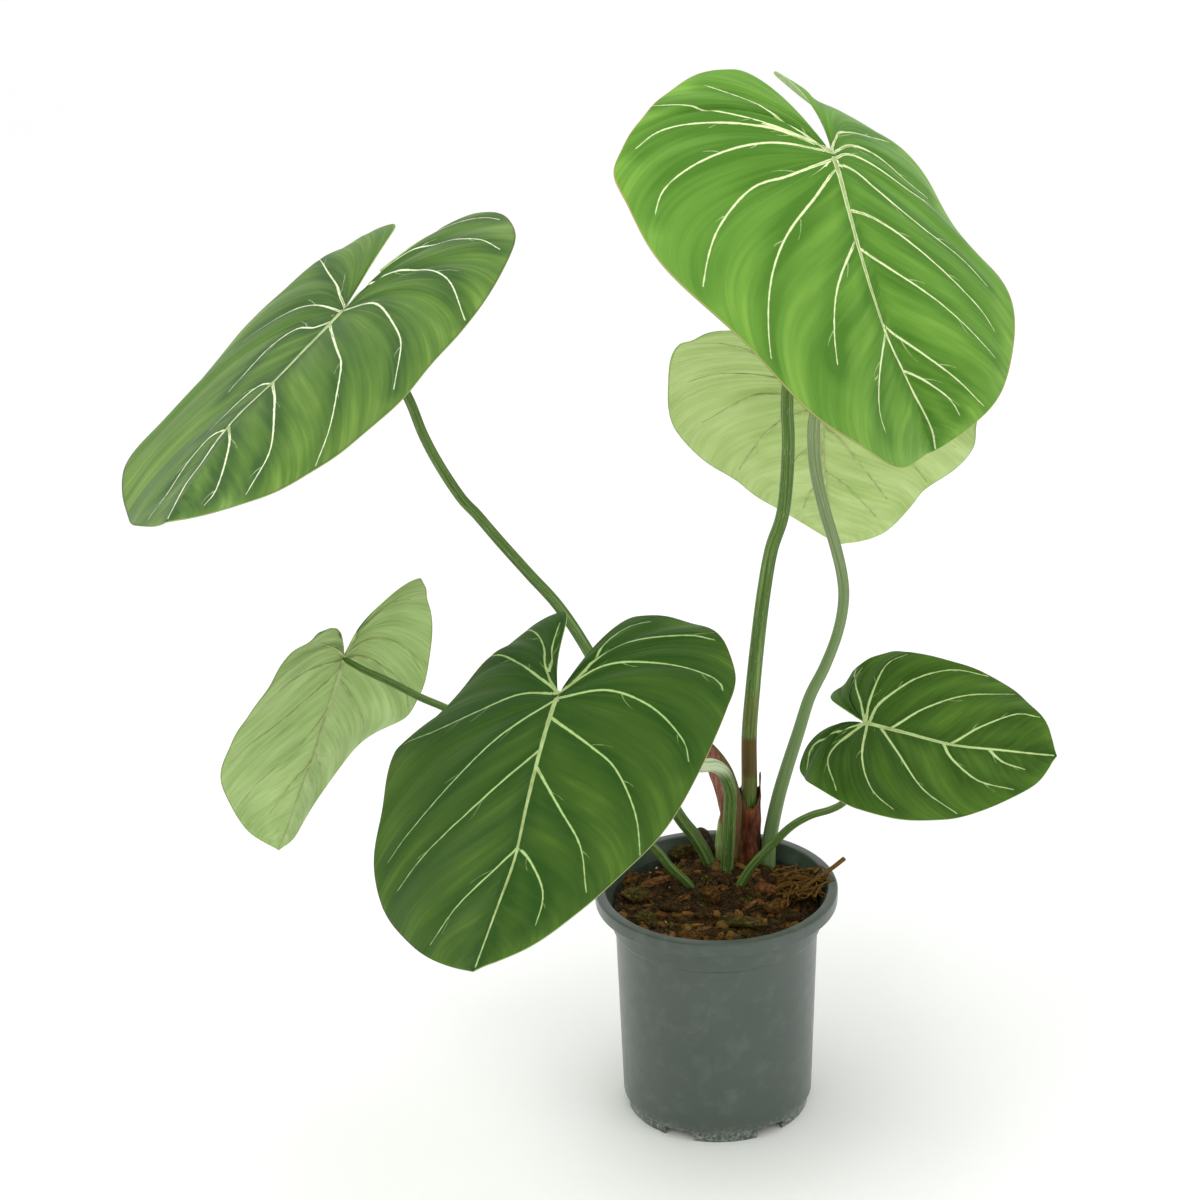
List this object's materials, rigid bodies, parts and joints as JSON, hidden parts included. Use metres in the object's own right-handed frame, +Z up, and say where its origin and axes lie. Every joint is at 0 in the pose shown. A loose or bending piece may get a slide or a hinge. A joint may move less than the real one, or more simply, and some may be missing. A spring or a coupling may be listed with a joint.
{
  "type": "potted heart-leaf plant",
  "caption": "Creeping aroid with broad heart-shaped leaves on long round stalks, rooted in bark mix in a thin round plastic nursery pot with a rolled rim.",
  "frame": {"origin": "middle of the pot's underside, on the surface it stands on", "axes": "+Z up along the pot's axis; -Y is the front, towards the leaf that hangs over the rim; +X to the right of the front"},
  "size_m": [0.6046, 0.572, 0.7489],
  "materials": {
    "pot_plastic": "thin moulded sheet, satin, a little dusty",
    "potting_mix": "damp bark, fibre and peat",
    "blade_skin": "velvety leaf skin",
    "stalk_skin": "smooth striped stalk",
    "dry_sheath": "dry papery scale leaf",
    "rhizome_bark": "rough dark bark",
    "bud_skin": "smooth fresh skin"
  },
  "bodies": {
    "root": {"pot": "pot_plastic", "potting_mix": "potting_mix", "rhizome": "rhizome_bark", "bud": "bud_skin", "cataphyll": "dry_sheath", "dry_sheath": "dry_sheath", "blade_high_right": "blade_skin", "blade_high_left": "blade_skin", "blade_front": "blade_skin", "blade_low_right": "blade_skin", "blade_back": "blade_skin", "blade_low_left": "blade_skin", "stalk_high_right": "stalk_skin", "stalk_high_left": "stalk_skin", "stalk_front": "stalk_skin", "stalk_low_right": "stalk_skin", "stalk_back": "stalk_skin", "stalk_low_left": "stalk_skin"}
  },
  "joints": []
}
